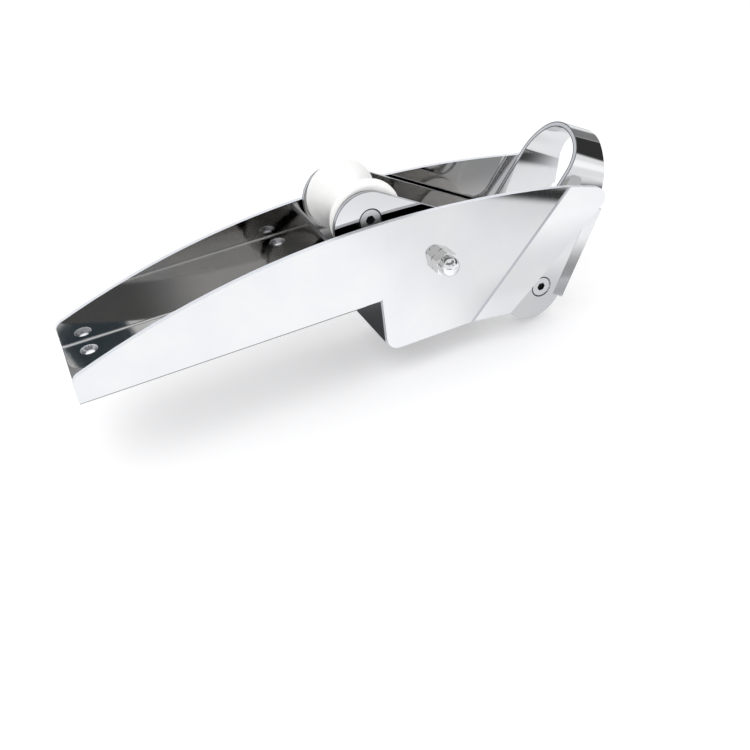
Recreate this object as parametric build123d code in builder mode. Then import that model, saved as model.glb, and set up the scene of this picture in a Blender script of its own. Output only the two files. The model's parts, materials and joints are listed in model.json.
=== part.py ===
from build123d import *
from math import cos, radians, sin, sqrt, tan
import os

os.makedirs("parts", exist_ok=True)

# Self-launching bow anchor roller with a tilting rocker. Millimetres.
# +X points outboard over the bow, +Y to port, +Z up. The origin is the middle of the deck
# hole pattern on the underside of the floor. The rocker is drawn tipped down on its stop.


def point(origin, angle, distance):
    """Point in the side view, a distance away from an origin at an angle from +X."""
    return (
        origin[0] + distance * cos(radians(angle)),
        origin[1] + distance * sin(radians(angle)),
    )


def meet(first, first_angle, second, second_angle):
    """Crossing of two lines in the side view, each given by a point and an angle."""
    along = radians(first_angle)
    across = radians(second_angle)
    gap_x = second[0] - first[0]
    gap_z = second[1] - first[1]
    reach = (gap_x * sin(across) - gap_z * cos(across)) / sin(across - along)
    return point(first, first_angle, reach)


def corner(sketch, position):
    """Corner of a sketch nearest to a position in its own plane."""
    return sketch.vertices().sort_by_distance((position[0], position[1], 0))[0]


def save(builder, name):
    """Name a finished piece and write it to its own file."""
    builder.part.label = name
    export_step(builder.part, f"parts/{name}.step")


# Longer than any piece: for sheets that are cut back to an outline
blank = 200.0

# Driving sizes of the fixed channel
sheet = 3.0
channel_width = 62.0
floor_inboard_end = -80.0
floor_outboard_end = 92.0
deep_section = 32.5
step_plate_drop = 28.0
crown_at = 90.0
crown_height = 48.2
inboard_crown_radius = 480.0
outboard_crown_radius = 600.0
fold_radius = 1.0
wall_corner_radius = 6.0
step_corner_radius = 8.0

# Driving sizes of the flared guide at the outboard end of each wall
crease_foot = 148.0
crease_angle = 45.0
flare_angle = 16.5
flare_width = 40.0
bend_overlap = 1.0
crease_radius = 6.0
guide_foot = 171.5
guide_angle = 40.6
guide_tip_radius = 6.0
guide_end = 240.0
crown_fall_angle = 14.0

# Driving sizes of the deck fixing
mount_spacing = 133.0
mount_offset = 17.5
mount_hole_radius = 2.75
mount_sink_radius = 5.0

# Driving sizes of the tilting rocker
pivot = (130.8, 15.2)
cheek_gap = 42.0
ear_centre = (91.0, 46.6)
ear_radius = 18.9
arm_drop = 30.0
rear_axle_at = (93.4, 49.0)
front_axle_at = (201.0, -30.4)
hoop_top = (240.5, 55.5)
hoop_lean = 62.4
inboard_half_width = 8.5
outboard_half_width = 11.7
inboard_taper = 12.5
inboard_shoulder = 10.0
outboard_shoulder = 8.0
inboard_blend = 50.0
outboard_blend = 30.0
foot_reach = 97.0
foot_radius = 20.0
valley_radius = 11.0
heel_radius = 8.0

# Driving sizes of the turned lip on each cheek
lip_bend = 16.0
lip_edge = 21.0
lip_top = 39.0
lip_bottom = 97.5
lip_angle = 33.0

# Driving sizes of the two rollers and their axles
roller_width = 40.6
rear_roller_radius = 20.8
front_roller_radius = 22.5
waist_radius = 13.0
rim_width = 4.5
rim_round = 3.2
rim_inner_round = 2.0
axle_radius = 6.0
axle_chamfer = 0.7
running_fit = 0.08

# Driving sizes of the countersunk axle screws
screw_radius = 3.0
screw_length = 16.0
screw_head_radius = 6.2
screw_rim_radius = 6.7
screw_recess = 0.3
screw_clearance = 0.8
socket_flats = 4.2
socket_depth = 2.0
countersink = 90.0

# Driving sizes of the pivot bolt stack and the stop bar
bolt_radius = 4.0
bolt_chamfer = 1.0
bolt_past_nut = 2.5
thread_gap = 0.02
nut_flats = 13.0
nut_height = 6.5
dome_height = 14.0
dome_radius = 5.8
dome_bore = 9.3
washer_radius = 8.0
washer_thickness = 1.2
washer_clearance = 0.2
sleeve_radius = 7.0
spacer_radius = 9.0
side_play = 0.1
stop_bar_radius = 4.0
stop_bar_reach = 79.0
stop_gap = 0.4

# Worked out from the sizes above
half_width = channel_width / 2
wall_inside = half_width - sheet
cheek_inside = cheek_gap / 2
cheek_outside = cheek_inside + sheet
half_roller = roller_width / 2
bolt_hole_radius = bolt_radius + running_fit
outward_from_base = (Align.CENTER, Align.CENTER, Align.MIN)
inward_from_base = (Align.CENTER, Align.CENTER, Align.MAX)


def crown(x):
    """Height of the arched top edge of a wall at a distance along the channel."""
    radius = inboard_crown_radius if x < crown_at else outboard_crown_radius
    return crown_height - radius + sqrt(radius**2 - (x - crown_at) ** 2)


def on_arm(across, down):
    """Point in the side view, across the hoop's centre line and down from its top."""
    return point(point(hoop_top, hoop_lean, -down), hoop_lean - 90, across)


def bent_sheet(flat, angle, reach):
    """Outline of a sheet that turns outward by an angle, drawn outward then along."""
    middle = sheet * tan(radians(angle / 2))
    tip = point((0, 0), 90 - angle, reach)
    return [
        (-sheet, -flat),
        (0, -flat),
        (0, 0),
        tip,
        point(tip, 180 - angle, sheet),
        (-sheet, middle),
    ]


def side_plane(place, side, angle):
    """Plane whose x faces starboard, whose normal leans up by an angle in the side view."""
    return Plane(
        origin=(place[0], side, place[1]),
        x_dir=(0, -1, 0),
        z_dir=(cos(radians(angle)), 0, sin(radians(angle))),
    )


# Channel: one bent sheet, a floor with two arched walls that flare at the bow
crease_plane = side_plane((crease_foot, -deep_section), -half_width, crease_angle)
guide_top = (guide_end, crown(guide_end))
guide_tip = meet((guide_foot, -deep_section), guide_angle, guide_top, 180 - crown_fall_angle)
deep_foot = (floor_outboard_end, -deep_section)
inboard_top = (floor_inboard_end, crown(floor_inboard_end))
crown_top = (crown_at, crown_height)

with BuildPart() as channel:
    with BuildSketch(crease_plane) as flared_section:
        with BuildLine():
            Polyline(*bent_sheet(blank, flare_angle, flare_width), close=True)
        make_face()
        fillet(corner(flared_section, (0, 0)), crease_radius)
        fillet(corner(flared_section, (-sheet, 0)), crease_radius + sheet)
    extrude(amount=blank, both=True)
    mirror(about=Plane.XZ)
    with Locations((floor_outboard_end, 0, 0)):
        Box(blank, blank, blank, align=(Align.MIN, Align.CENTER, Align.CENTER), mode=Mode.INTERSECT)
    with BuildSketch(Plane.YZ.offset(floor_inboard_end)) as folded_section:
        with Locations((0, blank / 2)):
            Rectangle(channel_width, blank)
        with Locations((0, blank / 2 + sheet)):
            Rectangle(2 * wall_inside, blank, mode=Mode.SUBTRACT)
        for side in (-1, 1):
            fillet(corner(folded_section, (side * half_width, 0)), fold_radius + sheet)
            fillet(corner(folded_section, (side * wall_inside, sheet)), fold_radius)
    extrude(amount=floor_outboard_end - floor_inboard_end)
    with BuildSketch(Plane.XZ) as wall_outline:
        with BuildLine():
            Polyline(
                inboard_top,
                (floor_inboard_end, 0),
                (floor_outboard_end, 0),
                deep_foot,
                (guide_foot, -deep_section),
                guide_tip,
            )
            outboard_middle = (guide_tip[0] + crown_at) / 2
            ThreePointArc(guide_tip, (outboard_middle, crown(outboard_middle)), crown_top)
            ThreePointArc(crown_top, (0, crown(0)), inboard_top)
        make_face()
        fillet(corner(wall_outline, guide_tip), guide_tip_radius)
        fillet(corner(wall_outline, inboard_top), wall_corner_radius)
        fillet(corner(wall_outline, deep_foot), step_corner_radius)
        fillet(corner(wall_outline, (guide_foot, -deep_section)), sheet)
    extrude(amount=channel_width, both=True, mode=Mode.INTERSECT)
    with Locations((0, 0, sheet)):
        with GridLocations(mount_spacing, 2 * mount_offset, 2, 2):
            CounterSinkHole(mount_hole_radius, mount_sink_radius, sheet, countersink)
    with Locations(Location((pivot[0], 0, pivot[1]), (90, 0, 0))):
        Hole(bolt_hole_radius)
save(channel, "channel")

# Step plate: closes the end of the floor down between the walls
with BuildPart() as step_plate:
    with Locations((floor_outboard_end, 0, sheet)):
        Box(
            sheet,
            2 * wall_inside,
            sheet + step_plate_drop,
            align=(Align.MIN, Align.CENTER, Align.MAX),
        )
save(step_plate, "step_plate")

# Stop bar: the underside of the rocker's rear arm rests on it
arm_underside = point(ear_centre, 270 - arm_drop, ear_radius)
stop_bar_at = point(
    point(arm_underside, -arm_drop, stop_bar_reach),
    270 - arm_drop,
    stop_bar_radius + stop_gap,
)
with BuildPart() as stop_bar:
    with BuildSketch(Plane.XZ):
        with Locations(stop_bar_at):
            Circle(stop_bar_radius)
    extrude(amount=wall_inside, both=True)
save(stop_bar, "stop_bar")

# Rocker frame: one sheet folded over, two cheeks joined by the hoop
hoop_plane = side_plane(on_arm(0, cheek_outside), 0, hoop_lean - 90)
lip_plane = side_plane(on_arm(lip_bend, lip_bottom), -cheek_outside, hoop_lean)
lip_reach = (lip_edge - lip_bend) / cos(radians(lip_angle))
arm_topside = point(ear_centre, 90 - arm_drop, ear_radius)
inboard_edge = on_arm(-inboard_half_width, inboard_shoulder)
outboard_edge = on_arm(outboard_half_width, outboard_shoulder)
valley = meet(arm_topside, -arm_drop, inboard_edge, hoop_lean - inboard_taper)
foot_start = on_arm(sqrt(foot_radius**2 - (lip_bottom - foot_reach) ** 2), lip_bottom)
heel = meet(arm_underside, -arm_drop, on_arm(-foot_radius, foot_reach), hoop_lean)

with BuildPart() as rocker_frame:
    with BuildSketch(hoop_plane) as folded_over:
        Circle(cheek_outside)
        with Locations((0, blank / 2)):
            Rectangle(2 * cheek_outside, blank)
            Rectangle(cheek_gap, blank, mode=Mode.SUBTRACT)
        Circle(cheek_inside, mode=Mode.SUBTRACT)
    extrude(amount=blank, both=True)
    with BuildSketch(Plane.XZ) as cheek_outline:
        with BuildLine():
            ThreePointArc(arm_underside, point(ear_centre, 180 - arm_drop, ear_radius), arm_topside)
            Polyline(
                arm_topside,
                valley,
                inboard_edge,
                on_arm(-inboard_half_width, -sheet),
                on_arm(outboard_half_width, -sheet),
                outboard_edge,
                on_arm(lip_edge, lip_top),
                on_arm(lip_bend, lip_top),
                on_arm(lip_bend, lip_bottom),
                foot_start,
            )
            ThreePointArc(foot_start, on_arm(0, foot_reach + foot_radius), heel)
            Line(heel, arm_underside)
        make_face()
        fillet(corner(cheek_outline, valley), valley_radius)
        fillet(corner(cheek_outline, inboard_edge), inboard_blend)
        fillet(corner(cheek_outline, outboard_edge), outboard_blend)
        fillet(corner(cheek_outline, heel), heel_radius)
    extrude(amount=channel_width, both=True, mode=Mode.INTERSECT)
    with BuildSketch(lip_plane) as lip_section:
        with BuildLine():
            Polyline(*bent_sheet(bend_overlap, lip_angle, lip_reach), close=True)
        make_face()
    extrude(amount=lip_bottom - lip_top)
    with Locations(Plane.XZ.offset(cheek_outside)):
        with Locations(rear_axle_at, front_axle_at):
            CounterSinkHole(screw_radius + screw_clearance, screw_rim_radius, sheet, countersink)
        with Locations(pivot):
            Hole(bolt_hole_radius, depth=sheet)
    split(bisect_by=Plane.XZ, keep=Keep.TOP)
    mirror(about=Plane.XZ)
save(rocker_frame, "rocker_frame")

# Pivot sleeve: holds the cheeks apart around the pivot bolt
with BuildPart() as pivot_sleeve:
    with BuildSketch(Plane.XZ):
        with Locations(pivot):
            Circle(sleeve_radius)
            Circle(bolt_hole_radius, mode=Mode.SUBTRACT)
    extrude(amount=cheek_inside, both=True)
save(pivot_sleeve, "pivot_sleeve")

# Axles: one through each roller, bored at both ends for its screws
for name, place in (("rear_axle", rear_axle_at), ("front_axle", front_axle_at)):
    with BuildPart() as axle:
        with BuildSketch(Plane.XZ):
            with Locations(place):
                Circle(axle_radius)
                Circle(screw_radius + running_fit, mode=Mode.SUBTRACT)
        extrude(amount=cheek_inside, both=True)
        bore_mouths = axle.edges().filter_by(GeomType.CIRCLE).sort_by(SortBy.RADIUS)[:2]
        chamfer(bore_mouths, axle_chamfer)
    save(axle, name)

# Rollers: round rims either side of a hollow waist that carries the anchor shank
for name, place, radius in (
    ("rear_roller", rear_axle_at, rear_roller_radius),
    ("front_roller", front_axle_at, front_roller_radius),
):
    rim_start = half_roller - rim_width
    with BuildPart() as roller:
        with BuildSketch(Plane.XY) as spool:
            with BuildLine():
                Polyline(
                    (radius, rim_start),
                    (radius, half_roller),
                    (axle_radius + running_fit, half_roller),
                    (axle_radius + running_fit, -half_roller),
                    (radius, -half_roller),
                    (radius, -rim_start),
                )
                ThreePointArc((radius, -rim_start), (waist_radius, 0), (radius, rim_start))
            make_face()
            for side in (-1, 1):
                fillet(corner(spool, (radius, side * half_roller)), rim_round)
                fillet(corner(spool, (radius, side * rim_start)), rim_inner_round)
        revolve(axis=Axis.Y)
    roller.part.position = (place[0], 0, place[1])
    save(roller, name)


def facing(place, side, distance):
    """Place in the side view, a distance out from the middle, local +Z facing outward."""
    return Location((place[0], side * distance, place[1]), (-90 * side, 0, 0))


# Countersunk screws: head face at the origin, shank pointing down
with BuildPart() as screw:
    with BuildSketch(Plane.XZ):
        with BuildLine():
            Polyline(
                (0, 0),
                (screw_head_radius, 0),
                (screw_radius, screw_radius - screw_head_radius),
                (screw_radius, axle_chamfer - screw_length),
                (screw_radius - axle_chamfer, -screw_length),
                (0, -screw_length),
                close=True,
            )
        make_face()
    revolve(axis=Axis.Z)
    with BuildSketch():
        RegularPolygon(socket_flats / 2, 6, major_radius=False)
    extrude(amount=-socket_depth, mode=Mode.SUBTRACT)

for name, place in (("rear_screw", rear_axle_at), ("front_screw", front_axle_at)):
    for side, word in ((-1, "starboard"), (1, "port")):
        with BuildPart() as placed:
            with Locations(facing(place, side, cheek_outside - screw_recess)):
                add(screw.part)
        save(placed, f"{name}_{word}")


def hexagon(height):
    """Hexagonal blank standing on the origin, its corners turned off at both ends."""
    corner_radius = nut_flats / 2 / cos(radians(30))
    cut = (corner_radius - nut_flats / 2) * tan(radians(30))
    with BuildPart() as blank_nut:
        with BuildSketch():
            RegularPolygon(nut_flats / 2, 6, major_radius=False, rotation=30)
        extrude(amount=height)
        with BuildSketch(Plane.XZ):
            with BuildLine():
                Polyline(
                    (0, 0),
                    (nut_flats / 2, 0),
                    (corner_radius, cut),
                    (corner_radius, height - cut),
                    (nut_flats / 2, height),
                    (0, height),
                    close=True,
                )
            make_face()
        revolve(axis=Axis.Z, mode=Mode.INTERSECT)
    return blank_nut.part


# Pivot bolt: a threaded bar through both walls, with a nut to port and a cap to starboard
port_end = half_width + nut_height + bolt_past_nut
starboard_end = half_width + dome_bore - bolt_chamfer
with BuildPart() as pivot_bolt:
    with Locations(facing(pivot, 1, port_end)):
        Cylinder(bolt_radius, port_end + starboard_end, align=inward_from_base)
    chamfer(pivot_bolt.edges().filter_by(GeomType.CIRCLE), bolt_chamfer)
save(pivot_bolt, "pivot_bolt")

# Bearing discs: a nylon one against each cheek, then a steel washer against the wall
for side, word in ((-1, "starboard"), (1, "port")):
    with BuildPart() as washer:
        with Locations(facing(pivot, side, wall_inside)):
            Cylinder(washer_radius, washer_thickness, align=inward_from_base)
            Hole(bolt_radius + washer_clearance)
    save(washer, f"bolt_washer_{word}")
    with BuildPart() as spacer:
        spacer_length = wall_inside - washer_thickness - cheek_outside - 2 * side_play
        with Locations(facing(pivot, side, cheek_outside + side_play)):
            Cylinder(spacer_radius, spacer_length, align=outward_from_base)
            Hole(bolt_hole_radius)
    save(spacer, f"wall_spacer_{word}")

with BuildPart() as lock_nut:
    with Locations(facing(pivot, 1, half_width)):
        add(hexagon(nut_height))
        Hole(bolt_radius + thread_gap)
save(lock_nut, "lock_nut")

with BuildPart() as dome_nut:
    with Locations(facing(pivot, -1, half_width + dome_height - dome_radius)):
        Sphere(dome_radius)
        Cylinder(dome_radius, dome_height - dome_radius, align=inward_from_base)
    with Locations(facing(pivot, -1, half_width)):
        add(hexagon(nut_height))
        Cylinder(bolt_radius + thread_gap, dome_bore, align=outward_from_base, mode=Mode.SUBTRACT)
save(dome_nut, "dome_nut")
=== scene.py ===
import json
import math

import bmesh
import bpy
from mathutils import Matrix, Vector
from mathutils.bvhtree import BVHTree


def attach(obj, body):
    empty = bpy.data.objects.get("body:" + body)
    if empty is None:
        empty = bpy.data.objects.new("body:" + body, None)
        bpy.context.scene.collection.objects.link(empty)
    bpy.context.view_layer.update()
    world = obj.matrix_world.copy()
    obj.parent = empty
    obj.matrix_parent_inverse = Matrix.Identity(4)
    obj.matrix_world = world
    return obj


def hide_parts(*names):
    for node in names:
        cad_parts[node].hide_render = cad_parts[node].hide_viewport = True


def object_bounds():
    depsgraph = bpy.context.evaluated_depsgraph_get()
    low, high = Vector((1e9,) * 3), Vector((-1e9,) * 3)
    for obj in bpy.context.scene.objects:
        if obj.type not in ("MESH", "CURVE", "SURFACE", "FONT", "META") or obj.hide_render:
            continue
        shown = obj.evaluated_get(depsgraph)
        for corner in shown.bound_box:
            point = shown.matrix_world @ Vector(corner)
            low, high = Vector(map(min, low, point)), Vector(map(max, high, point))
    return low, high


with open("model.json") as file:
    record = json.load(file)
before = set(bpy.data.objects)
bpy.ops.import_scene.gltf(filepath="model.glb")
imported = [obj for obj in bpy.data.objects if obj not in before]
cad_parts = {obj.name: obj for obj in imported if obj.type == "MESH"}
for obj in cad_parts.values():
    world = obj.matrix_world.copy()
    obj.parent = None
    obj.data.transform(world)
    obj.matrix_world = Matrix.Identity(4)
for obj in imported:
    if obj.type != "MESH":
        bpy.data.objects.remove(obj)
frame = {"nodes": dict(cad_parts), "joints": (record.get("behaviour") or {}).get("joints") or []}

bl_info = {
    "name": "Bow Anchor Roller",
    "version": (1, 0, 0),
    "blender": (4, 5, 0),
    "location": "View3D > Sidebar > Bow Roller",
    "description": "Dresses the bow anchor roller: polished sheet, nylon rollers, fasteners and the studio",
    "category": "Object",
}

cad_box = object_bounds()
joints = {joint["name"]: joint for joint in frame["joints"]}
pivot = Vector(joints["rocker_tilt"]["pos_m"])
rear_axle = Vector(joints["rear_roller_spin"]["pos_m"])
front_axle = Vector(joints["front_roller_spin"]["pos_m"])


class BowRollerSizes(bpy.types.PropertyGroup):
    sheet_round: bpy.props.FloatProperty(
        name="Sheet Edge Round",
        description="Largest width of the round on sheet edges; short edges in the mesh make it narrower",
        default=0.0004,
        unit="LENGTH",
    )
    # The strap border carries painted shade along the rocker's cut edges
    strap_border: bpy.props.FloatProperty(
        name="Strap Border",
        description="Width of the darker border along both sides of the rocker's cut edges",
        default=0.0006,
        unit="LENGTH",
    )
    fastener_round: bpy.props.FloatProperty(
        name="Fastener Edge Round",
        description="Largest width of the round on nut, bolt and washer edges",
        default=0.00025,
        unit="LENGTH",
    )
    round_angle: bpy.props.FloatProperty(
        name="Sharp Edge Angle",
        description="Edges that turn by more than this are rounded",
        default=math.radians(30),
        subtype="ANGLE",
    )
    screw_joint: bpy.props.FloatProperty(
        name="Screw Joint",
        description="Largest width of the dark joint round a countersunk screw head",
        default=0.0003,
        unit="LENGTH",
    )
    socket_reach: bpy.props.FloatProperty(
        name="Socket Reach",
        description="Faces that stay nearer to the axle than this belong to the hexagon socket",
        default=0.0026,
        unit="LENGTH",
    )
    sheet_thickness: bpy.props.FloatProperty(
        name="Sheet Thickness",
        description="Thickness of the bent sheet",
        default=0.003,
        unit="LENGTH",
    )
    bend_width: bpy.props.FloatProperty(
        name="Bend Width",
        description="Upright faces narrower than this, outboard of the pivot, are sharp bends",
        default=0.0012,
        unit="LENGTH",
    )
    deck_half_width: bpy.props.FloatProperty(
        name="Deck Half Width",
        description="Sloping faces nearer to the middle plane than this are countersinks",
        default=0.025,
        unit="LENGTH",
    )


class BowRollerFinish(bpy.types.PropertyGroup):
    sheet_tone: bpy.props.FloatVectorProperty(
        name="Polished Sheet",
        description="Reflected colour of the mirror-polished sheet",
        subtype="COLOR",
        default=(0.59, 0.58, 0.565),
    )
    # Painted shade: the step plate's tone is kept dark to stand for the shade under the channel that it
    # mirrors
    step_shade_tone: bpy.props.FloatVectorProperty(
        name="Mill Sheet Shade",
        description="Reflected colour of the unpolished step plate",
        subtype="COLOR",
        default=(0.12, 0.12, 0.125),
    )
    cut_tone: bpy.props.FloatVectorProperty(
        name="Cut Edges",
        description="Reflected colour of the ground cut edges of the channel and the step plate",
        subtype="COLOR",
        default=(0.86, 0.86, 0.87),
    )
    strap_tone: bpy.props.FloatVectorProperty(
        name="Strap Edges",
        description="Reflected colour of the cut edges of the rocker and its hoop",
        subtype="COLOR",
        default=(0.52, 0.52, 0.53),
    )
    # Painted shade on the creases, countersinks and rounded edges of the channel and the step plate
    corner_shade_tone: bpy.props.FloatVectorProperty(
        name="Shaded Corners",
        description="Reflected colour of the channel's creases, countersinks and rounded edges",
        subtype="COLOR",
        default=(0.41, 0.41, 0.42),
    )
    # Painted shade on the border and rounded edges along the rocker's cut edges
    strap_corner_tone: bpy.props.FloatVectorProperty(
        name="Strap Corners",
        description="Reflected colour of the border of the rocker's cut edges",
        subtype="COLOR",
        default=(0.13, 0.13, 0.135),
    )
    fastener_tone: bpy.props.FloatVectorProperty(
        name="Fasteners",
        description="Reflected colour of the pivot bolt with its nuts and washers",
        subtype="COLOR",
        default=(0.62, 0.615, 0.61),
    )
    # Painted shade on the rounded edges of the bolt, nuts and washers
    fastener_corner_tone: bpy.props.FloatVectorProperty(
        name="Fastener Corners",
        description="Reflected colour of the rounded edges of the bolt, nuts and washers",
        subtype="COLOR",
        default=(0.16, 0.16, 0.165),
    )
    screw_tone: bpy.props.FloatVectorProperty(
        name="Screw Heads",
        description="Reflected colour of the satin heads of the axle screws",
        subtype="COLOR",
        default=(0.6, 0.6, 0.605),
    )
    # Painted shade in the hexagon sockets; round the heads the same colour is the real dark joint
    socket_shade_and_joint_tone: bpy.props.FloatVectorProperty(
        name="Socket Shade and Joint",
        description="Reflected colour of the screw sockets and the joints round the heads",
        subtype="COLOR",
        default=(0.035, 0.035, 0.037),
    )
    bar_tone: bpy.props.FloatVectorProperty(
        name="Bars and Tubes",
        description="Reflected colour of the machined bars and tubes",
        subtype="COLOR",
        default=(0.6, 0.6, 0.61),
    )
    nylon_tone: bpy.props.FloatVectorProperty(
        name="Nylon",
        description="Colour of the turned white nylon",
        subtype="COLOR",
        default=(0.95, 0.95, 0.945),
    )


class BowRollerStudio(bpy.types.PropertyGroup):
    camera_place: bpy.props.FloatVectorProperty(
        name="Camera Place",
        description="Where the photograph was taken from",
        subtype="TRANSLATION",
        default=(-0.067788, -0.427151, 0.262203),
    )
    camera_right: bpy.props.FloatVectorProperty(
        name="Camera Right",
        description="Direction to the right in the photograph",
        subtype="DIRECTION",
        default=(0.90962, -0.39597, -0.12570),
    )
    camera_down: bpy.props.FloatVectorProperty(
        name="Camera Down",
        description="Direction downward in the photograph",
        subtype="DIRECTION",
        default=(-0.32478, -0.48912, -0.80949),
    )
    focal_pixels: bpy.props.FloatProperty(
        name="Focal Length in Pixels",
        description="Focal length measured in pixels of the photograph",
        default=889.356,
    )
    middle: bpy.props.FloatVectorProperty(
        name="Optical Middle",
        description="Pixel of the photograph that the lens axis passes through",
        size=2,
        default=(344.907, 363.708),
    )
    picture_size: bpy.props.FloatProperty(
        name="Picture Size",
        description="Width and height of the photograph in pixels",
        default=750.0,
    )
    floor_tone: bpy.props.FloatVectorProperty(
        name="Floor",
        description="Colour of the studio floor",
        subtype="COLOR",
        default=(0.86, 0.86, 0.87),
    )
    fill_strength: bpy.props.FloatProperty(
        name="Fill Strength",
        description="Strength of the even light from all round",
        default=0.84,
    )
    back_glow: bpy.props.FloatProperty(
        name="Back Glow",
        description="Brightness of the room behind the object as the metal shows it",
        default=1.1,
    )
    front_glow: bpy.props.FloatProperty(
        name="Front Glow",
        description="Share of the brightness of the room behind the camera that the metal shows",
        default=1.0,
    )
    floor_lift: bpy.props.FloatProperty(
        name="Floor Lift",
        description="Light added to the floor for the camera",
        default=0.2,
    )
    floor_glow: bpy.props.FloatProperty(
        name="Floor Glow",
        description="Brightness of the floor as the metal shows it",
        default=1.6,
    )
    camera_body: bpy.props.FloatProperty(
        name="Camera Body",
        description="Width of the dark camera that the metal shows",
        default=0.078,
        unit="LENGTH",
    )
    key_power: bpy.props.FloatProperty(
        name="Key Power",
        description="Power of the large soft lamp overhead",
        default=6.6,
        unit="POWER",
    )
    fill_power: bpy.props.FloatProperty(
        name="Fill Power",
        description="Power of the smaller soft lamp at the bow",
        default=1.65,
        unit="POWER",
    )


def node_adder(nodes):
    """A function that adds a node and sets the properties and inputs that it is given."""

    def add(kind, **settings):
        node = nodes.new(kind)
        for name, value in settings.items():
            if hasattr(node, name):
                setattr(node, name, value)
            else:
                node.inputs[name].default_value = value
        return node

    return add


def node_tree(material):
    """Links of a fresh material, its shader, and a function that adds a node."""
    material.use_nodes = True
    nodes = material.node_tree.nodes
    return material.node_tree.links, nodes["Principled BSDF"], node_adder(nodes)


def feed(links, socket, value):
    """Link a socket to another one, or set it to a plain number."""
    if isinstance(value, bpy.types.NodeSocket):
        links.new(value, socket)
    else:
        socket.default_value = value


def calculate(add, links, operation, *values):
    """Result of a maths node that works on sockets and plain numbers."""
    node = add("ShaderNodeMath", operation=operation)
    for socket, value in zip(node.inputs, values):
        feed(links, socket, value)
    return node.outputs["Value"]


def ramp(add, links, source, low, high, start, end, interpolation="SMOOTHSTEP"):
    """Go from low to high while the source goes from start to end."""
    node = add("ShaderNodeMapRange", interpolation_type=interpolation)
    node.inputs["From Min"].default_value = start
    node.inputs["From Max"].default_value = end
    node.inputs["To Min"].default_value = low
    node.inputs["To Max"].default_value = high
    links.new(source, node.inputs["Value"])
    return node.outputs["Result"]


# Range of a noise texture's value that shows as contrast
noise_range = (0.35, 0.65)


def spread(add, links, pattern, low, high, contrast=noise_range):
    """Turn a noise value into a number between low and high."""
    return ramp(add, links, pattern, low, high, *contrast, interpolation="LINEAR")


def tint(add, links, shader, tone, shares, pattern):
    """Let a noise pattern vary the shader's colour between the tone and a share of it."""
    mix = add("ShaderNodeMix", data_type="RGBA")
    mix.inputs["A"].default_value = (*(part * share for part, share in zip(tone, shares)), 1)
    mix.inputs["B"].default_value = (*tone, 1)
    links.new(spread(add, links, pattern, 0, 1), mix.inputs["Factor"])
    links.new(mix.outputs["Result"], shader.inputs["Base Color"])


def engrave(add, links, shader, pattern, strength, depth):
    """Cut a pattern into the surface as fine bump."""
    bump = add("ShaderNodeBump", Strength=strength, Distance=depth)
    links.new(pattern, bump.inputs["Height"])
    links.new(bump.outputs["Normal"], shader.inputs["Normal"])


def mapped(add, links, place, **settings):
    """A place moved, turned or scaled for a pattern."""
    mapping = add("ShaderNodeMapping", **settings)
    links.new(place, mapping.inputs["Vector"])
    return mapping.outputs["Vector"]


def noise(add, links, place, **settings):
    """Soft random pattern at a place."""
    texture = add("ShaderNodeTexNoise", **settings)
    links.new(place, texture.inputs["Vector"])
    return texture.outputs["Fac"]


def waves(add, links, place, **settings):
    """Regular pattern of bands or rings at a place."""
    texture = add("ShaderNodeTexWave", **settings)
    links.new(place, texture.inputs["Vector"])
    return texture.outputs["Fac"]


# Scales of the finishes' patterns, larger for finer, and the depths of the finest marks in metres
polish_lines = (900, 900, 30)
polish_haze = 34.0
rub_marks = (420, 26, 420)
lathe_rings = 900.0
wear_spots = 260.0
tool_bands = 520.0
nylon_mottle = 90.0
metal_mark_depth = 0.00001
nylon_mark_depth = 0.00002

# Rub marks: their turn against the polishing lines in radians, the part of their noise
# that shows, and the roughness that they add
rub_turn = (0.3, 0.5, 0.8)
rub_contrast = (0.62, 0.8)
rub_roughness = 0.05

# Share of red, green and blue that haze on the metal and mottling of the nylon leave
haze_shares = (0.945, 0.96, 0.985)
mottle_shares = (0.955, 0.955, 0.94)

# Roughness of each finish, at its smoothest spots and at its roughest
polished_roughness = (0.03, 0.06)
mill_roughness = (0.3, 0.45)
ground_roughness = (0.55, 0.68)
strap_roughness = (0.3, 0.4)
shaded_corner_roughness = (0.2, 0.3)
corner_roughness = (0.15, 0.25)
bar_roughness = (0.2, 0.34)
stack_roughness = (0.05, 0.13)
screw_roughness = (0.45, 0.55)
socket_and_joint_roughness = (0.3, 0.5)
nylon_roughness = (0.34, 0.5)

# How far red, green and blue light wander in nylon, in metres
nylon_depth = (0.002, 0.002, 0.002)


def polished_sheet(name, tone, roughness):
    """Polished stainless sheet: long polishing lines, soft haze and a few fine rub marks."""
    material = bpy.data.materials.new(name)
    links, shader, add = node_tree(material)
    place = add("ShaderNodeTexCoord").outputs["Object"]
    along = mapped(add, links, place, Scale=polish_lines)
    askew = mapped(add, links, place, Rotation=rub_turn, Scale=rub_marks)
    lines = noise(add, links, along, Scale=1.0, Detail=6.0, Roughness=0.62)
    haze = noise(add, links, place, Scale=polish_haze, Detail=4.0, Roughness=0.55)
    rub = noise(add, links, askew, Scale=1.0, Detail=3.0)
    tint(add, links, shader, tone, haze_shares, haze)
    fine = spread(add, links, lines, *roughness)
    marks = spread(add, links, rub, 0.0, rub_roughness, rub_contrast)
    links.new(calculate(add, links, "ADD", fine, marks), shader.inputs["Roughness"])
    engrave(add, links, shader, lines, strength=0.1, depth=metal_mark_depth)
    shader.inputs["Metallic"].default_value = 1.0
    return material


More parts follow.
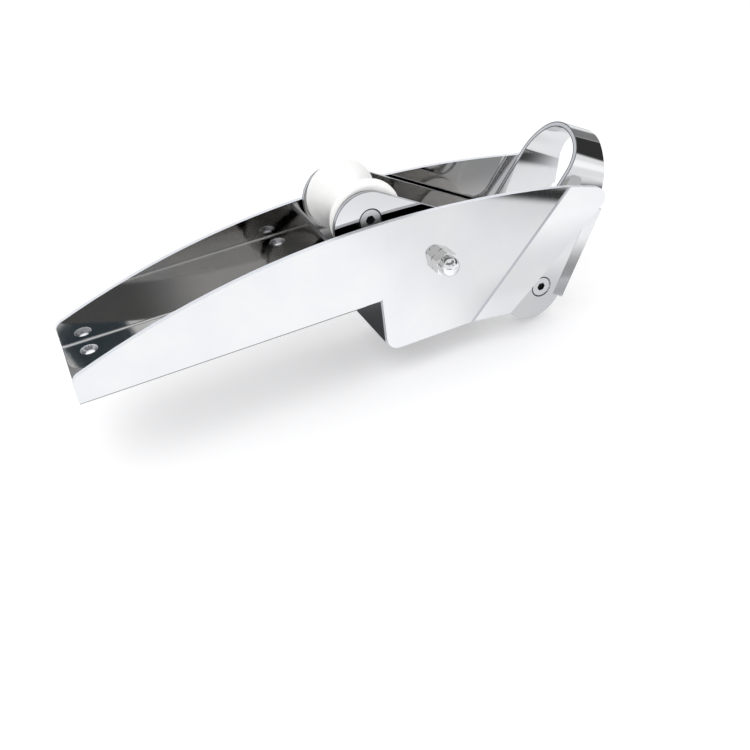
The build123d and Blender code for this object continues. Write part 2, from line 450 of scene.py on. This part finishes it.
def turned_metal(name, tone, roughness, centre):
    """Turned stainless: fine rings about a line parallel to Y, with soft spots of wear."""
    material = bpy.data.materials.new(name)
    links, shader, add = node_tree(material)
    place = add("ShaderNodeTexCoord").outputs["Object"]
    centred = mapped(add, links, place, Location=-centre)
    about_y = {"wave_type": "RINGS", "rings_direction": "Y"}
    rings = waves(add, links, centred, **about_y, Scale=lathe_rings, Distortion=0.6)
    spots = noise(add, links, place, Scale=wear_spots, Detail=5.0)
    links.new(spread(add, links, spots, *roughness), shader.inputs["Roughness"])
    engrave(add, links, shader, rings, strength=0.2, depth=metal_mark_depth)
    shader.inputs["Base Color"].default_value = (*tone, 1)
    shader.inputs["Metallic"].default_value = 1.0
    return material


def turned_nylon(name, tone, centre):
    """Turned white nylon: faint tool rings, slight mottling and rubbed spots."""
    material = bpy.data.materials.new(name)
    links, shader, add = node_tree(material)
    place = add("ShaderNodeTexCoord").outputs["Object"]
    centred = mapped(add, links, place, Location=-centre)
    along_y = {"wave_type": "BANDS", "bands_direction": "Y"}
    bands = waves(add, links, centred, **along_y, Scale=tool_bands, Distortion=0.8)
    mottle = noise(add, links, place, Scale=nylon_mottle, Detail=5.0)
    tint(add, links, shader, tone, mottle_shares, mottle)
    links.new(spread(add, links, mottle, *nylon_roughness), shader.inputs["Roughness"])
    engrave(add, links, shader, bands, strength=0.25, depth=nylon_mark_depth)
    shader.inputs["Subsurface Weight"].default_value = 0.15
    shader.inputs["Subsurface Radius"].default_value = nylon_depth
    shader.inputs["Subsurface Scale"].default_value = 1.0
    return material


# Material slots: cut edges and painted-shade corners of sheet, painted-shade rounded edges of a fastener, a
# screw's painted-shade socket and dark joint
CUT, SHADED_CORNER = 1, 2
CORNER = 1
SOCKET_SHADE_AND_JOINT = 1

# Corners nearer than this, in metres, are one, and faces that turn by less than this lie flat
doubled_corner = 1e-7
flat_turn = math.radians(0.2)

# How a face of sheet is told from a cut edge: a ray starts this far under the face, in metres,
# and meets more metal than this behind a cut edge, in sheet thicknesses
ray_start = 1e-5
cut_depth = 1.2

# Upward part of the normal: an upright face has less than the first, a level one more than the second
upright_part = 0.3
level_part = 0.95


def merged_form(node):
    """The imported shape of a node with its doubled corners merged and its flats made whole."""
    form = bmesh.new()
    form.from_mesh(frame["nodes"][node].data)
    bmesh.ops.remove_doubles(form, verts=form.verts, dist=doubled_corner)
    bmesh.ops.dissolve_limit(form, angle_limit=flat_turn, verts=form.verts, edges=form.edges)
    for face in form.faces:
        face.smooth = True
    return form


def mark_sheet_faces(form, drilled, sizes):
    """Tell cut edges, and a drilled channel's countersinks and creases that get painted shade, from
    polished faces.
    """
    inside = BVHTree.FromBMesh(form)
    for face in form.faces:
        middle = face.calc_center_median()
        metal_behind = inside.ray_cast(middle - face.normal * ray_start, -face.normal)[3] or 0
        width = 2 * face.calc_area() / face.calc_perimeter()
        upright = abs(face.normal.z) < upright_part
        sloping = upright_part < face.normal.z < level_part
        crease = upright and width < sizes.bend_width and middle.x > pivot.x
        countersink = sloping and abs(middle.y) < sizes.deck_half_width
        if metal_behind > sizes.sheet_thickness * cut_depth:
            face.material_index = CUT
        elif drilled and (crease or countersink):
            face.material_index = SHADED_CORNER


def border_cut_edges(form, width):
    """Part a border off both sides of every cut edge and give it the corners' painted shade."""
    cut = [face for face in form.faces if face.material_index == CUT]
    rims = bmesh.ops.inset_region(
        form,
        faces=cut,
        thickness=width,
        use_boundary=True,
        use_even_offset=False,
    )
    for face in rims["faces"]:
        face.material_index = SHADED_CORNER


def dressed_piece(form, node, name, materials, body):
    """Turn a form into a piece that rides on a body and stands for a node."""
    mesh = bpy.data.meshes.new(name)
    form.to_mesh(mesh)
    form.free()
    for material in materials:
        mesh.materials.append(material)
    piece = bpy.data.objects.new(name, mesh)
    bpy.context.scene.collection.objects.link(piece)
    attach(piece, body)
    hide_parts(node)
    return piece


def finish_edges(piece, width, angle, material_slot):
    """Round the sharp edges over and keep the flats flat."""
    edge_round = piece.modifiers.new("Edge Round", "BEVEL")
    edge_round.width = width
    edge_round.segments = 3
    edge_round.limit_method = "ANGLE"
    edge_round.angle_limit = angle
    edge_round.harden_normals = True
    edge_round.miter_outer = "MITER_ARC"
    edge_round.material = material_slot
    flats = piece.modifiers.new("Flat Faces", "WEIGHTED_NORMAL")
    flats.keep_sharp = True


def sheet_copy(node, name, materials, body, border, sizes):
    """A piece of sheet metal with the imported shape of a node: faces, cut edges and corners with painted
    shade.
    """
    form = merged_form(node)
    mark_sheet_faces(form, node == "channel", sizes)
    if border:
        border_cut_edges(form, border)
    piece = dressed_piece(form, node, name, materials, body)
    finish_edges(piece, sizes.sheet_round, sizes.round_angle, SHADED_CORNER)


def fastener_copy(node, name, materials, sizes):
    """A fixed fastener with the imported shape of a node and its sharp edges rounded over."""
    piece = dressed_piece(merged_form(node), node, name, materials, "base")
    finish_edges(piece, sizes.fastener_round, sizes.round_angle, CORNER)


def screw_copy(node, name, materials, axle, sizes):
    """A countersunk screw: satin head, hexagon socket darkened with painted shade and a dark joint round
    the head.
    """
    form = merged_form(node)
    for face in form.faces:
        reach = max(math.hypot(vert.co.x - axle.x, vert.co.z - axle.z) for vert in face.verts)
        if reach < sizes.socket_reach:
            face.material_index = SOCKET_SHADE_AND_JOINT
    piece = dressed_piece(form, node, name, materials, "rocker")
    finish_edges(piece, sizes.screw_joint, sizes.round_angle, SOCKET_SHADE_AND_JOINT)


def refinish(node, material):
    """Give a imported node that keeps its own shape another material."""
    slots = frame["nodes"][node].data.materials
    slots.clear()
    slots.append(material)


class OBJECT_OT_bow_roller_sheet(bpy.types.Operator):
    """Dress the channel, its step plate and the rocker frame in polished sheet"""

    bl_idname = "object.bow_roller_sheet"
    bl_label = "Polished Sheet"

    def execute(self, context):
        sizes = context.scene.bow_roller_sizes
        finish = context.scene.bow_roller_finish
        polished = polished_sheet("polished_sheet", finish.sheet_tone, polished_roughness)
        # Step plate: rough mill finish with a dark tone of painted shade
        shaded_mill = polished_sheet("mill_sheet_painted_shade", finish.step_shade_tone, mill_roughness)
        ground = polished_sheet("ground_edge", finish.cut_tone, ground_roughness)
        strap = polished_sheet("strap_edge", finish.strap_tone, strap_roughness)
        # Painted shade on the creases, countersinks and rounded edges of the channel and step plate
        corner_shade = polished_sheet("painted_shade_corner", finish.corner_shade_tone, shaded_corner_roughness)
        # Painted shade on the border and rounded edges of the rocker's cut edges
        strap_corner = polished_sheet("strap_corner", finish.strap_corner_tone, corner_roughness)
        strap_border = sizes.strap_border
        for node, name, materials, body, border in (
            ("channel", "channel_sheet", (polished, ground, corner_shade), "base", 0),
            ("rocker_frame", "rocker_sheet", (polished, strap, strap_corner), "rocker", strap_border),
            ("step_plate", "step_sheet", (shaded_mill, ground, corner_shade), "base", 0),
        ):
            sheet_copy(node, name, materials, body, border, sizes)
        return {"FINISHED"}


class OBJECT_OT_bow_roller_rollers(bpy.types.Operator):
    """Finish the two white nylon spools and the nylon discs beside the rocker"""

    bl_idname = "object.bow_roller_rollers"
    bl_label = "Nylon Rollers"

    def execute(self, context):
        finish = context.scene.bow_roller_finish
        for node, centre in (
            ("rear_roller", rear_axle),
            ("front_roller", front_axle),
            ("wall_spacer_port", pivot),
            ("wall_spacer_starboard", pivot),
        ):
            refinish(node, turned_nylon(f"{node}_nylon", finish.nylon_tone, centre))
        return {"FINISHED"}


class OBJECT_OT_bow_roller_bars(bpy.types.Operator):
    """Finish the machined bars and tubes inside the channel"""

    bl_idname = "object.bow_roller_bars"
    bl_label = "Bars and Tubes"

    def execute(self, context):
        finish = context.scene.bow_roller_finish
        for node, centre in (
            ("stop_bar", pivot),
            ("pivot_sleeve", pivot),
            ("rear_axle", rear_axle),
            ("front_axle", front_axle),
        ):
            refinish(node, turned_metal(f"{node}_steel", finish.bar_tone, bar_roughness, centre))
        return {"FINISHED"}


class OBJECT_OT_bow_roller_fasteners(bpy.types.Operator):
    """Dress the pivot bolt, nuts, washers and axle screws"""

    bl_idname = "object.bow_roller_fasteners"
    bl_label = "Fasteners"

    def execute(self, context):
        sizes = context.scene.bow_roller_sizes
        finish = context.scene.bow_roller_finish
        stack = turned_metal("pivot_fastener_steel", finish.fastener_tone, stack_roughness, pivot)
        # Painted shade on the rounded edges of the bolt, nuts and washers
        corner_shade_tone = finish.fastener_corner_tone
        corner = turned_metal("pivot_fastener_corner", corner_shade_tone, corner_roughness, pivot)
        for node in (
            "pivot_bolt",
            "lock_nut",
            "dome_nut",
            "bolt_washer_port",
            "bolt_washer_starboard",
        ):
            fastener_copy(node, f"{node}_finish", (stack, corner), sizes)
        for end, axle in (("rear", rear_axle), ("front", front_axle)):
            steel = turned_metal(f"{end}_screw_steel", finish.screw_tone, screw_roughness, axle)
            # Painted shade in the sockets; the dark joint round each head is real
            socket_shade_and_joint = turned_metal(f"{end}_socket_shade_joint", finish.socket_shade_and_joint_tone, socket_and_joint_roughness, axle)
            for side in ("port", "starboard"):
                node = f"{end}_screw_{side}"
                screw_copy(node, f"{node}_finish", (steel, socket_shade_and_joint), axle, sizes)
        return {"FINISHED"}


# What the metal shows of the room: name, azimuth range, elevation range and
# softness in degrees (azimuth 0 is the bow, 90 is port), then brightness.
room_cards = (
    ("window", (-85, -75), (26.0, 34), 1.0, 1.5),
    ("sill", (-88, -75), (20, 25.6), 1.0, 0.6),
    ("dark_corner", (-74, -60), (20, 34), 2.0, 0.3),
    ("ceiling", (-175, -5), (38, 66), 4.0, 0.32),
    ("bow_curtain", (-29, 14), (8, 27), 5.0, 0.05),
    ("port_curtain", (14, 38), (2, 27), 6.0, 0.3),
    ("back_door", (83, 110), (20, 33), 6.0, 0.28),
    ("far_table", (-150, -100), (-20, 0.2), 2.0, 0.5),
)

# Brightness of the room behind the camera: near the floor, on the wall and overhead,
# with the elevations in degrees over which one gives way to the next
table_glow, wall_glow, overhead_glow = 1.6, 1.25, 1.5
table_to_wall = (0, 6)
wall_to_overhead = (66, 84)

# Part to port of a direction over which the room behind the camera gives way to the room at the back
front_to_back = (-0.35, 0.1)

# Tints of the room and of the floor as the metal shows them
room_tint = (0.98, 1.0, 1.03, 1)
floor_tint = (0.98, 1.0, 1.04, 1)


def shown_to(add, links, ray, plain, special):
    """Shader that shows the special one to rays of one kind and the plain one to all others."""
    mix = add("ShaderNodeMixShader")
    links.new(add("ShaderNodeLightPath").outputs[ray], mix.inputs["Fac"])
    links.new(plain, mix.inputs[1])
    links.new(special, mix.inputs[2])
    return mix.outputs["Shader"]


def studio_world(fill, back, front):
    """Even light on the object; metal sees a pale room with a few darker cards in it."""
    world = bpy.data.worlds.new("studio")
    bpy.context.scene.world = world
    world.use_nodes = True
    nodes = world.node_tree.nodes
    links = world.node_tree.links
    nodes.clear()
    add = node_adder(nodes)

    def between(source, edges, soft):
        low, high = edges
        after = ramp(add, links, source, 0, 1, low - soft / 2, low + soft / 2)
        before = ramp(add, links, source, 1, 0, high - soft / 2, high + soft / 2)
        return calculate(add, links, "MULTIPLY", after, before)

    def blend(first, second, share):
        node = add("ShaderNodeMix")
        for name, value in (("Factor", share), ("A", first), ("B", second)):
            feed(links, node.inputs[name], value)
        return node.outputs["Result"]

    split = add("ShaderNodeSeparateXYZ")
    links.new(add("ShaderNodeTexCoord").outputs["Generated"], split.inputs["Vector"])
    ahead, across, up = (split.outputs[axis] for axis in "XYZ")
    azimuth = calculate(add, links, "DEGREES", calculate(add, links, "ARCTAN2", across, ahead))
    elevation = calculate(add, links, "DEGREES", calculate(add, links, "ARCSINE", up))
    above_table = ramp(add, links, elevation, 0, 1, *table_to_wall)
    above_wall = ramp(add, links, elevation, 0, 1, *wall_to_overhead)
    behind_camera = blend(table_glow * front, wall_glow * front, above_table)
    behind_camera = blend(behind_camera, overhead_glow * front, above_wall)
    tone = blend(behind_camera, back, ramp(add, links, across, 0, 1, *front_to_back))
    for name, azimuths, elevations, soft, bright in room_cards:
        beside = between(azimuth, azimuths, soft)
        inside = calculate(add, links, "MULTIPLY", beside, between(elevation, elevations, soft))
        inside.node.label = name
        tone = blend(tone, bright, inside)
    seen = add("ShaderNodeBackground", Color=room_tint)
    links.new(tone, seen.inputs["Strength"])

    even = add("ShaderNodeBackground", Color=(1, 1, 1, 1), Strength=fill)
    white = add("ShaderNodeBackground", Color=(1, 1, 1, 1))
    room = shown_to(add, links, "Is Glossy Ray", even.outputs["Background"], seen.outputs["Background"])
    room = shown_to(add, links, "Is Camera Ray", room, white.outputs["Background"])
    links.new(room, add("ShaderNodeOutputWorld").inputs["Surface"])


def stage_piece(name, form):
    """Put a form in the scene as part of the stage."""
    mesh = bpy.data.meshes.new(name)
    form.to_mesh(mesh)
    form.free()
    piece = bpy.data.objects.new(name, mesh)
    bpy.context.scene.collection.objects.link(piece)
    return piece


# Half width of the floor and its gap under the object, in metres
floor_reach = 0.9
floor_gap = 0.0004

# What the metal shows of the floor. A step is an axis, the brightness before and after it,
# and where it starts and ends, in metres. The brightest step of a patch counts. The steps
# under the object lie round it, and inside them the glow is the share of light that is left.
under_object = (
    ("Y", 1, 0, -0.034, -0.012),
    ("Y", 0, 1, 0.045, 0.08),
    ("X", 1, 0, -0.12, -0.06),
    ("X", 0, 1, 0.2, 0.24),
)
under_object_glow = 0.12
floor_patches = (
    ("bow", (("X", 1, 0.84, 0.12, 0.2),)),
    ("port", (("Y", 1, 0.55, 0.03, 0.1),)),
    ("starboard_dip", (("Y", 0.93, 1, -0.26, -0.2), ("Y", 1.22, 0.93, -0.85, -0.35))),
    ("far_inboard", (("X", 0.42, 1, 0.08, 0.17), ("Y", 0, 1, -0.33, -0.26))),
)

# Soft round shadows on that floor: middle, brightness there, and the distances in metres
# at which they begin to lift and end
round_shadows = (
    ((0.21, -0.04, cad_box[0].z), 0.75, 0.02, 0.07),
    ((0.31, -0.19, cad_box[0].z), 0.84, 0.015, 0.1),
)

# A dark card that lies there: its place and turn, the stretches in metres over which its sides
# and its two ends soften, and its brightness
dark_card_place = (0.324, -0.163, 0)
dark_card_turn = (0, 0, math.radians(50))
dark_card_side = (0.002, 0.025)
dark_card_near_end = (-0.095, -0.045)
dark_card_far_end = (0.0, 0.065)
dark_card_glow = 0.05


def floor_glow(add, links):
    """Brightness of the floor as the metal shows it, by place."""
    place = add("ShaderNodeTexCoord").outputs["Object"]
    split = add("ShaderNodeSeparateXYZ")
    links.new(place, split.inputs["Vector"])

    def brightest(first, *others):
        for other in others:
            first = calculate(add, links, "MAXIMUM", first, other)
        return first

    def stepped(steps):
        return brightest(*(ramp(add, links, split.outputs[axis], *step) for axis, *step in steps))

    glow = ramp(add, links, stepped(under_object), under_object_glow, 1, 0, 1)
    for name, steps in floor_patches:
        glow = calculate(add, links, "MULTIPLY", glow, stepped(steps))
        glow.node.label = name
    for middle, dimmed, near, far in round_shadows:
        reach = add("ShaderNodeVectorMath", operation="DISTANCE")
        reach.inputs[1].default_value = middle
        links.new(place, reach.inputs[0])
        shadow = ramp(add, links, reach.outputs["Value"], dimmed, 1, near, far)
        glow = calculate(add, links, "MULTIPLY", glow, shadow)

    turned = mapped(
        add,
        links,
        place,
        vector_type="TEXTURE",
        Location=dark_card_place,
        Rotation=dark_card_turn,
    )
    card = add("ShaderNodeSeparateXYZ")
    links.new(turned, card.inputs["Vector"])
    aside = calculate(add, links, "ABSOLUTE", card.outputs["Y"])
    off_card = brightest(
        ramp(add, links, aside, 0, 1, *dark_card_side),
        ramp(add, links, card.outputs["X"], 1, 0, *dark_card_near_end),
        ramp(add, links, card.outputs["X"], 0, 1, *dark_card_far_end),
    )
    return calculate(add, links, "MULTIPLY", glow, ramp(add, links, off_card, dark_card_glow, 1, 0, 1))


def studio_floor(tone, camera_lift, metal_lift):
    """Plain white floor that keeps a soft shadow and lifts to white around it."""
    form = bmesh.new()
    bmesh.ops.create_grid(form, x_segments=1, y_segments=1, size=floor_reach)
    bmesh.ops.translate(form, verts=form.verts, vec=(0, 0, cad_box[0].z - floor_gap))
    floor = stage_piece("floor", form)
    material = bpy.data.materials.new("floor_white")
    links, shader, add = node_tree(material)
    shader.inputs["Base Color"].default_value = (*tone, 1)
    shader.inputs["Roughness"].default_value = 1.0
    shader.inputs["Specular IOR Level"].default_value = 0.0
    lift = add("ShaderNodeEmission", Strength=camera_lift)
    lit = add("ShaderNodeAddShader")
    links.new(shader.outputs["BSDF"], lit.inputs[0])
    links.new(lift.outputs["Emission"], lit.inputs[1])
    mirrored = add("ShaderNodeEmission", Color=floor_tint)
    glow = calculate(add, links, "MULTIPLY", floor_glow(add, links), metal_lift)
    links.new(glow, mirrored.inputs["Strength"])
    both = shown_to(add, links, "Is Glossy Ray", lit.outputs["Shader"], mirrored.outputs["Emission"])
    links.new(both, material.node_tree.nodes["Material Output"].inputs["Surface"])
    floor.data.materials.append(material)


# The dark camera that the metal shows: its height in widths, the place of its middle
# beside the lens in metres, and its colour
camera_height = 0.85
camera_shift = Vector((0.015, 0, 0))
camera_tone = (0.05, 0.075, 0.095, 1)


def camera_shade(place, turn, width):
    """Dark card around the camera that only shows in the metal."""
    form = bmesh.new()
    bmesh.ops.create_grid(form, x_segments=1, y_segments=1, size=width / 2)
    bmesh.ops.scale(form, verts=form.verts, vec=(1, camera_height, 1))
    bmesh.ops.transform(form, matrix=Matrix.Translation(place + camera_shift) @ turn, verts=form.verts)
    card = stage_piece("camera_shade", form)
    card.visible_camera = False
    card.visible_diffuse = False
    card.visible_shadow = False
    material = bpy.data.materials.new("camera_black")
    links, shader, add = node_tree(material)
    shader.inputs["Base Color"].default_value = camera_tone
    shader.inputs["Roughness"].default_value = 0.8
    card.data.materials.append(material)


def photo_camera(studio):
    """Camera of the photograph, shifted so that its lens axis meets the picture's optical middle."""
    data = bpy.data.cameras.new("camera")
    data.lens = studio.focal_pixels / studio.picture_size * data.sensor_width
    half = studio.picture_size / 2
    data.shift_x = (half - studio.middle[0]) / studio.picture_size
    data.shift_y = (studio.middle[1] - half) / studio.picture_size
    camera = bpy.data.objects.new("camera", data)
    right = Vector(studio.camera_right).normalized()
    down = Vector(studio.camera_down)
    down = (down - down.dot(right) * right).normalized()
    turn = Matrix((right, -down, right.cross(-down))).transposed().to_4x4()
    camera.matrix_world = Matrix.Translation(studio.camera_place) @ turn
    bpy.context.scene.collection.objects.link(camera)
    bpy.context.scene.camera = camera
    return turn


# Places of the lamps and their widths, in metres
key_place, key_width = (-0.5, -0.4, 1.3), 1.2
fill_place, fill_width = (0.9, -0.9, 0.6), 0.8


def soft_lamp(name, place, size, power):
    """Large square lamp that lights the object but doesn't show in the metal."""
    data = bpy.data.lights.new(name, "AREA")
    data.shape = "SQUARE"
    data.size = size
    data.energy = power
    lamp = bpy.data.objects.new(name, data)
    lamp.location = place
    lamp.rotation_mode = "QUATERNION"
    centre = (cad_box[0] + cad_box[1]) / 2
    lamp.rotation_quaternion = (centre - Vector(place)).to_track_quat("-Z", "Y")
    lamp.visible_glossy = False
    bpy.context.scene.collection.objects.link(lamp)


class OBJECT_OT_bow_roller_stage(bpy.types.Operator):
    """Set up the floor, the light and the camera of the photograph"""

    bl_idname = "object.bow_roller_stage"
    bl_label = "Stage"

    def execute(self, context):
        studio = context.scene.bow_roller_studio
        turn = photo_camera(studio)
        context.scene.view_settings.view_transform = "Standard"
        studio_world(studio.fill_strength, studio.back_glow, studio.front_glow)
        studio_floor(studio.floor_tone, studio.floor_lift, studio.floor_glow)
        camera_shade(Vector(studio.camera_place), turn, studio.camera_body)
        soft_lamp("key_lamp", key_place, key_width, studio.key_power)
        soft_lamp("fill_lamp", fill_place, fill_width, studio.fill_power)
        return {"FINISHED"}


class VIEW3D_PT_bow_roller(bpy.types.Panel):
    """Steps that dress the bow anchor roller"""

    bl_label = "Bow Roller"
    bl_idname = "VIEW3D_PT_bow_roller"
    bl_space_type = "VIEW_3D"
    bl_region_type = "UI"
    bl_category = "Bow Roller"

    def draw(self, context):
        for operator in operators:
            self.layout.operator(operator.bl_idname)


operators = (
    OBJECT_OT_bow_roller_stage,
    OBJECT_OT_bow_roller_sheet,
    OBJECT_OT_bow_roller_rollers,
    OBJECT_OT_bow_roller_bars,
    OBJECT_OT_bow_roller_fasteners,
)
groups = (BowRollerSizes, BowRollerFinish, BowRollerStudio)


def register():
    for kind in (*groups, *operators, VIEW3D_PT_bow_roller):
        bpy.utils.register_class(kind)
    bpy.types.Scene.bow_roller_sizes = bpy.props.PointerProperty(type=BowRollerSizes)
    bpy.types.Scene.bow_roller_finish = bpy.props.PointerProperty(type=BowRollerFinish)
    bpy.types.Scene.bow_roller_studio = bpy.props.PointerProperty(type=BowRollerStudio)


def unregister():
    del bpy.types.Scene.bow_roller_studio
    del bpy.types.Scene.bow_roller_finish
    del bpy.types.Scene.bow_roller_sizes
    for kind in reversed((*groups, *operators, VIEW3D_PT_bow_roller)):
        bpy.utils.unregister_class(kind)


def main():
    register()
    bpy.ops.object.bow_roller_stage()
    bpy.ops.object.bow_roller_sheet()
    bpy.ops.object.bow_roller_rollers()
    bpy.ops.object.bow_roller_bars()
    bpy.ops.object.bow_roller_fasteners()


if __name__ == "__main__":
    main()
